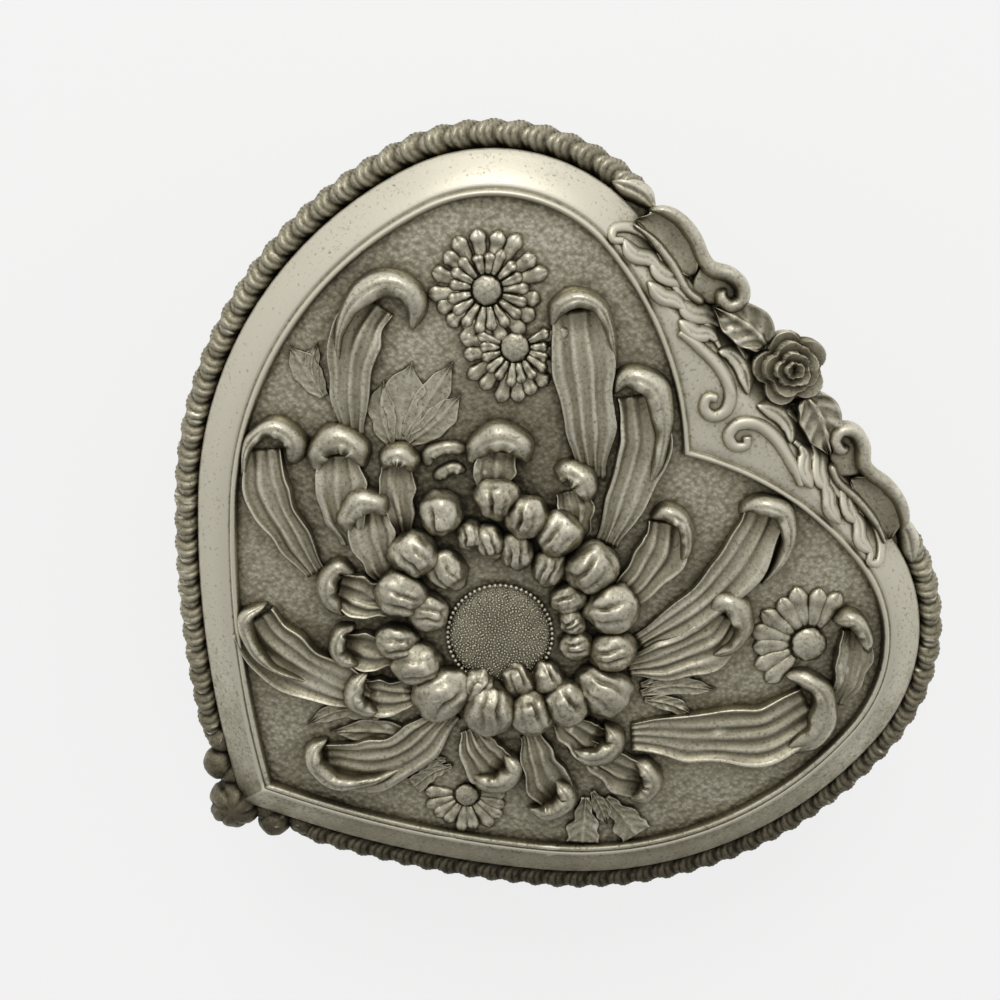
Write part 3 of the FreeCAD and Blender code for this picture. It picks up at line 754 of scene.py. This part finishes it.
# Each flower's piece and node, middle and radius in pixels, petals in a row, first petal's turn and the
# sweep of the row in degrees, rows, and the boss's share of the radius
daisies = (
    ("daisy_top", "daisy_upper", (487, 290), 54, 17, 0, 360, crowded, 0.26),
    ("daisy_below", "daisy_second", (515, 347), 51, 12, 200, 225, crowded, 0.27),
    ("daisy_by_hinge", "daisy_right", (808, 643), 58, 9, 112, 165, fan, 0.30),
    ("daisy_by_tip", "daisy_tip", (467, 793), 43, 10, 225, 190, fan, 0.28),
)
finger_shares = (0.45, 0.7, 0.8, 1, 0.9)
boss_rise = 0.5 * mm
boss_flatness = 0.42


def finger(swell, seed):
    """A daisy petal's section: round across, knobbly along, and notched at its blunt end."""
    def height(v, s):
        notch = 0.30 * math.exp(-(v / 0.22) ** 2) * s ** 3
        knob = 0.22 * noise.noise(Vector((v, s * 3, seed)))
        return along((0.5, 0.8, 0.72, 1.0, 0.85), s) * math.sqrt(1 - 0.7 * v * v) - notch + knob + swell
    return height


for name, node, pixel, radius, rays, first_turn, spread, rows_of_rays, boss_share in daisies:
    centre = on_plane(pixel, field_z)
    reach = radius * pixel_size
    step_turn = spread / (rays if spread == 360 else rays - 1)
    bm = bmesh.new()
    for row, (start_share, end_share, width, rise) in enumerate(rows_of_rays):
        for index in range(rays):
            seed = index * 1.3 + row * 7.7 + reach
            shift = 0.18 * noise.noise(Vector((seed * 1.7, 0.3, 0.4)))
            turn = math.radians(first_turn + step_turn * (index + row / 2 + shift * 2))
            out = Vector((math.cos(turn), math.sin(turn), 0)) * reach * mm
            ends = (start_share, (start_share + end_share) / 2, end_share + shift)
            places = [centre + out * share for share in ends]
            strap(bm, places, width * reach, finger_shares, finger(rise, seed), 14, 10, tips=(0, 0.3))
    boss = bmesh.ops.create_uvsphere(bm, u_segments=28, v_segments=16, radius=1)["verts"]
    for vert in boss:
        grain = 1 + 0.12 * noise.noise(vert.co * 6) + 0.06 * noise.noise(vert.co * 13)
        flat = vert.co * (boss_share * reach * mm * grain)
        vert.co = centre + Vector((flat.x, flat.y, flat.z * boss_flatness)) + up * boss_rise
    make_piece(name, bm, relief_silver, "lid", [node])

# Leaves. Pointed or fan-shaped leaves in the lowest relief, each with a raised edge, a midrib and
# slanting veins, all cast with the ground.
pointed = (0.35, 0.95, 0.95, 0.06)
fanned = (0.25, 0.55, 0.9, 1)
leaf_waver = 0.35
# Each spray's piece, node and height in mm, and its leaves by root, bend, point and width in pixels
leaf_sprays = (
    ("spray_by_left_lobe", "leaf_spray_upper", 0.5, (
        ((392, 446), (382, 412), (384, 380), 24, pointed),
        ((400, 440), (404, 400), (412, 362), 36, pointed),
        ((404, 436), (428, 402), (453, 362), 27, pointed),
        ((408, 444), (436, 422), (461, 394), 26, pointed),
        ((325, 396), (308, 372), (290, 346), 26, pointed),
        ((318, 388), (312, 366), (318, 342), 14, pointed),
    )),
    ("spray_by_tip", "leaf_spray_tip", 0.9, (
        ((585, 796), (584, 816), (582, 840), 34, fanned),
        ((606, 796), (622, 814), (636, 833), 34, fanned),
        ((592, 790), (600, 804), (607, 822), 16, pointed),
    )),
    ("leaves_by_flank", "leaf_pair_flank", 0.8, (
        ((640, 692), (672, 684), (716, 688), 19, pointed),
        ((640, 684), (668, 676), (700, 668), 15, pointed),
        ((644, 698), (668, 702), (692, 712), 16, pointed),
        ((425, 740), (380, 730), (330, 730), 24, pointed),
        ((420, 748), (382, 746), (340, 748), 17, pointed),
        ((380, 716), (344, 708), (308, 722), 18, pointed),
        ((452, 764), (434, 770), (414, 784), 20, fanned),
        ((446, 758), (428, 760), (408, 768), 14, pointed),
    )),
)


def leaf(rise, veins=5):
    """A leaf's section: a raised edge and midrib, with veins slanting up from it."""
    def height(v, s):
        rib = math.exp(-(v / 0.16) ** 2)
        vein = abs(math.sin(math.pi * (veins * s - 1.2 * abs(v)))) ** 3
        return rise * (0.60 + 0.22 * v ** 4 + 0.32 * rib + 0.12 * vein)
    return height


for name, node, rise, leaves in leaf_sprays:
    bm = bmesh.new()
    for root, bend, point, width, shares in leaves:
        places = [on_plane(pixel, field_z) for pixel in (root, bend, point)]
        strap(bm, places, width * pixel_size, shares, leaf(rise), 32, 20, waver=leaf_waver)
    make_piece(name, bm, relief_silver, "lid", [node])

# Roped border. Two lengths of cast rope along the skirt, from the beads at the tip round to the
# crest: fat slanting lobes side by side, each cut with fine reeds.
rope_radius = 2.2 * mm
rope_pitch = 3.45 * mm
rope_reeds = 3
rope_slant = 0.6
rope_core = 0.66
lobe_swell = 0.23
reed_swell = 0.12
rope_wobble = 0.02
rope_end_size = 0.35
rope_end_lobes = 0.7
rope_start = 10.4 * mm
rope_end_gap = 2.0 * mm
rope_lift = 0.2 * mm
rope_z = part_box("lid_rope_right")[0].z + rope_radius + rope_lift
rope_rows_per_lobe = 32
rope_columns = 24
# The rope gets strong painted shade towards the bottom of the picture
rope_silver = silver_plate("rope_silver", polish=-0.14, recess=1.5, pits=0.2, wear=3.0, painted_shade=0.52)


def walk(inset, distance):
    """Place and heading at a distance along the right of the heart from the tip."""
    for index, (x, y, radius, start, end) in enumerate(arcs):
        begin = start if index else first_heading(inset)
        length = (radius - inset) * (end - begin)
        if distance <= length:
            heading = begin + distance / (radius - inset)
            return on_arc(index, inset, heading), heading
        distance -= length
    return Vector((back_half - distance, back_y - inset, 0)), math.pi


side_length = sum((radius - rope_radius) * (end - (start if index else first_heading(rope_radius)))
                  for index, (x, y, radius, start, end) in enumerate(arcs))
rope_length = side_length - rope_start - rope_end_gap
lobes = round(rope_length / rope_pitch)


def rope(side):
    """One length of the rope, on the right for side 1 and on the left for side -1."""
    bm = bmesh.new()
    bmesh.ops.create_grid(bm, x_segments=rope_columns, y_segments=lobes * rope_rows_per_lobe, size=1)
    for vert in bm.verts:
        angle = math.pi * (vert.co.x + 1)
        share = (vert.co.y + 1) / 2
        lobe_place = share * lobes + rope_slant * math.sin(angle)
        lobe = math.sin(math.pi * lobe_place) ** 2
        reed = abs(math.sin(math.pi * lobe_place * rope_reeds)) ** 0.8
        end = min(share, 1 - share) * lobes
        taper = rope_end_size + (1 - rope_end_size) * math.sqrt(min(end / rope_end_lobes, 1))
        wobble = rope_wobble * noise.noise(Vector((share * lobes * 0.7, side, 0.5)))
        radius = rope_radius * (rope_core + lobe_swell * lobe ** 0.8 + reed_swell * reed + wobble) * taper
        place, heading = walk(rope_radius, rope_start + rope_length * share)
        out = Vector((math.sin(heading), -math.cos(heading), 0))
        point = place + out * (radius * math.cos(angle)) + up * (rope_z + radius * math.sin(angle))
        vert.co = Vector((point.x * side, point.y, point.z))
    bmesh.ops.remove_doubles(bm, verts=bm.verts[:], dist=0.01 * mm)
    bmesh.ops.holes_fill(bm, edges=[edge for edge in bm.edges if edge.is_boundary], sides=0)
    return bm


sides = ((1, "right"), (-1, "left"))
for side, word in sides:
    make_piece("rope_" + word, rope(side), rope_silver, "lid", ["lid_rope_" + word])

# Boss and beads at the tip. A lobed ball where the two ropes meet, and a bead on each side of it with
# smaller ones tucked in behind, all cast with the skirt and worn soft.
boss_radius = 4.3 * mm
boss_inset = 2.7 * mm
boss_lobes = 6
lobe_cut = 0.16
# Radius of each bead in mm, its inset from the outline and its distance along it from the tip
beads = ((2.7, 1.7, 7.2), (2.4, 3.4, 4.4), (2.4, 3.2, 10.4))


def ball(bm, middle, radius, cuts=0):
    """A cast ball, a little uneven, with a number of cuts that run round it at a slant."""
    made = bmesh.ops.create_uvsphere(bm, u_segments=48, v_segments=28, radius=1)["verts"]
    for vert in made:
        size = 1
        if cuts:
            turn = math.atan2(vert.co.y, vert.co.x) + 0.5 * vert.co.z
            size -= lobe_cut * (1 - abs(math.sin(cuts / 2 * turn))) ** 2 * (1 - vert.co.z ** 4)
        rough = 1 + 0.08 * noise.noise(vert.co * 2 + middle / mm) + 0.02 * noise.noise(vert.co * 7)
        vert.co = middle + vert.co * (radius * size * rough)


bm = bmesh.new()
ball(bm, Vector((0, tip_y + boss_inset, rope_z)), boss_radius, boss_lobes)
make_piece("boss_ball", bm, rope_silver, "lid", ["tip_boss"])
for side, word in sides:
    bm = bmesh.new()
    for radius, inset, distance in beads:
        place, heading = walk(inset * mm, distance * mm)
        ball(bm, Vector((place.x * side, place.y, rope_z)), radius * mm)
    make_piece("bead_" + word, bm, rope_silver, "lid", ["tip_bead_" + word])

# Crest over the hinge. A rose of curled petals on the back edge, between two bud-shaped leaves and two
# hollow C-scrolls, whose rims run out in a curl, all cast with the frame. A small leaf ends each rope.
crest_step = 0.9 * mm
crest_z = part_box("crest_scroll_right")[1].z - crest_step
crest_sink = 2.4
crest_under = 0.55
crest_tips = (0.06, 0.08)
end_sink = 2.0
end_under = 0.7
crest_silver = silver_plate("crest_silver", polish=0.05, recess=2.5, pits=0.35, wear=2.0, mottle=0.5)


def mirrored_places(places, side):
    """Places in mm on the right of the lid, or their mirror images on the left for side -1."""
    return [Vector((x * side * mm, y * mm, 0)) for x, y in places]


def hollow(v, s):
    """A C-scroll's section: a shallow trough with a soft ripple along it."""
    return 0.35 + 0.75 * v * v + 0.12 * math.sin(9 * s + 2 * v)


def rounded(rise, fall=0.8, groove=0.0):
    """A section that is round across, with a groove along its middle."""
    def height(v, s):
        crease = groove * math.exp(-(v / 0.16) ** 2) * math.sin(math.pi * s)
        return rise * (1 - fall + fall * math.sqrt(max(1 - v * v, 0)) - crease)
    return height


scroll_line = ((29.4, 50.4), (26.4, 52.2), (22.6, 52.6), (18.6, 51.6))
rim_line = ((29.2, 52.6), (27.8, 54.0), (25.4, 54.9), (22.4, 54.9), (19.7, 54.2), (17.6, 54.2),
            (15.4, 55.6), (13.1, 55.8), (11.7, 54.5), (12.3, 52.9), (13.9, 52.9), (14.4, 54.1))
inner_rim_line = ((29.4, 49.6), (26.0, 50.4), (21.6, 50.4), (17.4, 49.8), (14.6, 50.6))
curl_back_line = ((18.0, 51.4), (15.2, 53.2), (12.2, 54.0))
end_back_line = ((35.0, 49.4), (31.6, 51.2), (28.4, 51.8))
bud_line = ((4.6, 53.6), (7.4, 53.5), (10.4, 52.6), (13.6, 51.2))
end_leaf_line = ((28.6, 53.2), (31.6, 53.1), (35.6, 51.0))
# Each strap's line and width in mm, shares of that width, section, rows and columns
crest_straps = (
    (scroll_line, 5.6, (0.15, 0.9, 1, 0.3), hollow, 36, 20),
    (curl_back_line, 4.6, (0.8, 1, 0.7), rounded(0.7, 0.4), 20, 12),
    (rim_line, 2.3, (0.45, 0.8, 0.9, 0.9, 1, 1, 1, 0.9), rounded(2.5), 90, 14),
    (inner_rim_line, 1.7, (0.4, 0.9, 1, 0.9), rounded(1.7), 40, 10),
    (bud_line, 5.8, (0.6, 1, 0.85, 0.12), leaf(2.3, 4), 32, 22),
)
end_straps = (
    (end_back_line, 4.6, (0.7, 1, 0.8), rounded(0.9, 0.4), 20, 12, (0.1, 0.1)),
    (end_leaf_line, 3.5, (0.35, 0.9, 1, 0.6), rounded(2.4, 0.8, 0.18), 26, 16, (0.1, 0.3)),
)
for side, word in sides:
    bm = bmesh.new()
    for line, *form in crest_straps:
        strap(bm, mirrored_places(line, side), *form, crest_z, crest_sink, crest_tips, crest_under)
    for line, *form, tips in end_straps:
        strap(bm, mirrored_places(line, side), *form, rope_z, end_sink, tips, end_under)
    make_piece("crest_shell_" + word, bm, crest_silver, "lid", ["crest_scroll_" + word])

rose_low, rose_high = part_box("crest_rose")
rose_middle = (rose_low + rose_high) / 2
rose_spread = 1.16
rose_lift = 1.06
rose_radius = (rose_high.x - rose_low.x) / 2 * rose_spread
rose_height = (rose_high.z - rose_low.z) * rose_lift
rose_shift = 0.7 * mm
# Reach and rise of each whorl of petals as shares of the rose, with the petals in it and its turn
rose_whorls = ((1.0, 0.52, 5, 0.2), (0.74, 0.72, 4, 0.8), (0.48, 0.88, 3, 0.1), (0.24, 1.0, 2, 0.9))


def fullness(turn, petal_count, offset):
    """How full a whorl is at a turn, from 0 between two petals to 1 in the middle of one, and its reach."""
    bulge = abs(math.cos(petal_count * (turn - offset) / 2))
    return bulge, 0.84 + 0.16 * bulge ** 0.7


bm = bmesh.new()
bmesh.ops.create_uvsphere(bm, u_segments=96, v_segments=96, radius=1)
for vert in bm.verts:
    turn = math.atan2(vert.co.y, vert.co.x)
    polar = math.acos(min(max(vert.co.z, -1), 1)) / (math.pi / 2)
    reach = min(polar, 2 - polar)
    height = 0.25
    for whorl_reach, rise, petal_count, offset in rose_whorls:
        bulge, full = fullness(turn, petal_count, offset)
        edge = whorl_reach * full
        if reach <= edge:
            height = rise - 0.20 * (1 - reach / edge) + 0.08 * bulge
    if polar > 1:
        height = 0
    bulge, full = fullness(turn, *rose_whorls[0][2:])
    radius = reach * full * rose_radius
    vert.co = Vector((math.cos(turn) * radius, math.sin(turn) * radius, height * rose_height))
bmesh.ops.translate(bm, vec=(rose_middle.x, rose_middle.y + rose_shift, rose_low.z), verts=bm.verts)
make_piece("rose", bm, crest_silver, "lid", ["crest_rose"])

# Acanthus on the band. A pair of volutes at the notch, and stems with broad soft leaves from them
# out along the band to a small scroll, all cast on the frame.
lobe_x, lobe_y = arcs[-1][:2]
band_line = skirt_section[2:] + band_section


def band_ground(place):
    """Height of the frame's top near its back."""
    x = abs(place.x)
    if x <= back_half:
        inset = (back_y - place.y) / mm
    else:
        inset = (lobe_radius - math.hypot(x - lobe_x, place.y - lobe_y)) / mm
    inset = max(inset, band_line[0][0])
    for (low, low_rise), (high, high_rise) in zip(band_line, band_line[1:]):
        if inset <= high:
            share = (inset - low) / max(high - low, 0.01)
            return part_z + (low_rise + (high_rise - low_rise) * share) * mm
    return part_z + band_line[-1][1] * mm


# Each stem's line, width and rise in mm, then each leaf's line and width
stems = (
    (((14.0, 45.4), (10.2, 46.4), (6.4, 46.8), (3.2, 46.0), (1.4, 44.0), (1.7, 42.0), (3.4, 41.6),
      (4.4, 42.9), (3.5, 43.8)), 1.9, 0.9),
    (((8.6, 48.6), (14.0, 49.6), (19.0, 49.2), (24.0, 50.2)), 1.7, 0.6),
    (((21.0, 50.0), (25.4, 50.6), (28.8, 49.4), (30.4, 47.4), (29.5, 46.3), (28.4, 47.3)), 1.5, 0.7),
)
band_leaves = (
    ((8.4, 48.0), (6.4, 49.4), (3.6, 49.2), (1.0, 47.6), 2.7),
    ((10.4, 50.6), (12.6, 50.4), (14.8, 48.6), (17.6, 48.0), 2.9),
    ((9.4, 48.8), (11.0, 48.6), (12.6, 47.0), (15.4, 46.4), 2.5),
    ((10.0, 51.0), (8.2, 51.6), (6.0, 51.2), (4.4, 50.0), 2.2),
    ((16.2, 50.2), (18.8, 50.4), (21.4, 48.8), (24.6, 48.6), 2.8),
    ((15.4, 48.2), (17.6, 47.8), (19.4, 46.6), (22.2, 46.4), 2.3),
    ((22.0, 49.0), (24.2, 48.6), (26.2, 47.2), (28.8, 47.4), 2.3),
)
stem_shares = (0.5, 0.9, 1, 1, 0.9, 0.7)
band_leaf_shares = (0.4, 0.95, 1, 0.55)
band_leaf = rounded(0.95, 0.7, 0.2)
for side, word in sides:
    bm = bmesh.new()
    for line, width, rise in stems:
        strap(bm, mirrored_places(line, side), width, stem_shares, rounded(rise), 70, 10, band_ground)
    for *line, width in band_leaves:
        strap(bm, mirrored_places(line, side), width, band_leaf_shares, band_leaf, 28, 16, band_ground,
              tips=(0.1, 0.25))
    make_piece("acanthus_stems_" + word, bm, band_silver, "lid", ["acanthus_" + word])

# Linings. Deep red velvet over wadding and card: a crowned cushion on the floor of the well, a band
# glued round its wall, and a padded panel inside the lid.
velvet_deep = (0.085, 0.006, 0.012, 1)
velvet_pile = (0.24, 0.018, 0.035, 1)
velvet_stops = ((0.3, velvet_deep), (0.75, velvet_pile))
velvet_sheen = (0.8, 0.2, 0.25, 1)
nap_scale = 90
pile_scale = 5200
pile_height = 0.2 * mm

velvet, start = new_finish("velvet_pile")
place = start.node("ShaderNodeTexCoord", {}, {}, "Object")
nap = start.grain(place, nap_scale, 4)
pile = start.grain(place, pile_scale, 2)
shade = start.node("ShaderNodeValToRGB", {"stops": velvet_stops}, {"Fac": nap * 0.7 + pile * 0.3})
bump = start.node("ShaderNodeBump", {}, {"Height": pile, "Strength": 0.5, "Distance": pile_height})
start.node("ShaderNodeBsdfPrincipled", {}, {
    "Base Color": shade, "Roughness": 0.9, "Sheen Weight": 0.6, "Sheen Roughness": 0.4,
    "Sheen Tint": velvet_sheen, "Normal": bump}).surface()

section_steps = 4
pucker_inset = 9.5
pucker_reach = 3
pucker_height = 0.30
hollow_scale = 55
hollow_height = 0.28
hollow_inset = 12


def cushion(name, node, sections, body):
    """A padded heart through (inset, height) sections in mm, closed at both ends. The wadding swells
    between soft hollows, and the velvet puckers where it is turned over the edge."""
    steps = []
    for first, second in zip(sections, sections[1:]):
        steps += [(first, second, step / section_steps) for step in range(section_steps)]
    steps.append((sections[-2], sections[-1], 1))
    loops = []
    for (inset, z), (next_inset, next_z), share in steps:
        now = inset + (next_inset - inset) * share
        level = z + (next_z - z) * share
        loop = heart_loop(now * mm, level * mm)
        for index, place in enumerate(loop):
            pucker = noise.noise(Vector((index * 0.45, now * 0.1, 0.5)))
            pucker *= math.exp(-abs(now - pucker_inset) / pucker_reach)
            swell = noise.noise(place * hollow_scale) * min(now / hollow_inset, 1)
            place.z += (pucker_height * pucker + hollow_height * swell) * mm
        loops.append(loop)
    bm = bmesh.new()
    for end in pull_through(bm, loops):
        bmesh.ops.edgeloop_fill(bm, edges=end)
    piece = make_piece(name, bm, velvet, body, [node])


pad_low, pad_high = (corner.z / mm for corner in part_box("floor_pad"))
cushion("well_cushion", "floor_pad", (
    (8.8, pad_low + 0.1), (7.9, pad_low + 1.0), (8.0, pad_low + 1.6), (9.0, pad_low + 2.3),
    (12.0, pad_low + 3.4), (17.0, pad_low + 4.5), (22.0, pad_low + 5.1), (27.0, pad_high)), "base")
band_low, band_high = (corner.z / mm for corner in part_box("wall_lining"))
wall_loops = [heart_loop(inset * mm, z * mm) for inset, z in (
    (5.8, band_low), (5.8, band_high), (6.4, band_high + 0.1), (7.2, band_high - 0.4),
    (7.4, band_high - 1.2), (7.4, band_low + 1.0), (7.2, band_low))]
wall_band = make_piece("well_band", ring_mesh(wall_loops), velvet, "base", ["wall_lining"])
lid_low, lid_high = (corner.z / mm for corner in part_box("lid_lining"))
cushion("lid_cushion", "lid_lining", (
    (11.4, lid_high - 0.05), (6.2, lid_high - 2.0), (6.1, lid_low + 1.4), (7.0, lid_low + 0.8),
    (10.0, lid_low + 0.4), (14.0, lid_low + 0.15), (19.0, lid_low)), "lid")

# Studio. A plain white floor under a soft overcast that is lighter towards the top of the picture, and
# one broad lamp from there.
floor_half = 30.0
floor_colour = (0.93, 0.93, 0.925, 1)
floor_white = 0.7
bm = bmesh.new()
bmesh.ops.create_grid(bm, x_segments=1, y_segments=1, size=floor_half)
floor_mesh = bpy.data.meshes.new("floor")
bm.to_mesh(floor_mesh)
bm.free()
floor = bpy.data.objects.new("floor", floor_mesh)
bpy.context.scene.collection.objects.link(floor)
floor_finish, start = new_finish("white_floor")
rays = start.node("ShaderNodeLightPath", {}, {}, "Is Camera Ray")
rays_node = rays.output.node
seen = rays + Socket(rays.tree, rays_node.outputs["Is Glossy Ray"])
seen = (seen + Socket(rays.tree, rays_node.outputs["Is Transmission Ray"])).clamped()
lit = start.node("ShaderNodeBsdfDiffuse", {}, {"Color": floor_colour})
white = start.node("ShaderNodeEmission", {}, {"Color": (1, 1, 1, 1), "Strength": 1.0})
start.node("ShaderNodeMixShader", {}, {0: seen * floor_white, 1: lit, 2: white}).surface()
floor_mesh.materials.append(floor_finish)

lid_middle = Vector((0, 0, 40 * mm))
lamp_distance = 0.9
lamp_way = picture_top + up * 0.8
lamp_data = bpy.data.lights.new("key", "AREA")
lamp_data.shape = "DISK"
lamp_data.size = 0.35
lamp_data.energy = 1.15
lamp = bpy.data.objects.new("key", lamp_data)
lamp.location = lid_middle + lamp_way.normalized() * lamp_distance
lamp.rotation_euler = lamp_way.to_track_quat("Z", "Y").to_euler()
bpy.context.scene.collection.objects.link(lamp)

sky_level = 0.62
sky_lean = 0.38
world = bpy.data.worlds.new("overcast")
world.use_nodes = True
world.node_tree.nodes.clear()
sky = Socket(world.node_tree)
way = sky.node("ShaderNodeTexCoord", {}, {}, "Generated")
toward = sky.vector_sum("DOT_PRODUCT", way, picture_top)
glow = {"Color": (1, 1, 1, 1), "Strength": toward * sky_lean + sky_level}
sky.node("ShaderNodeBackground", {}, glow).surface("ShaderNodeOutputWorld")
bpy.context.scene.world = world
bpy.context.scene.view_settings.view_transform = "Standard"
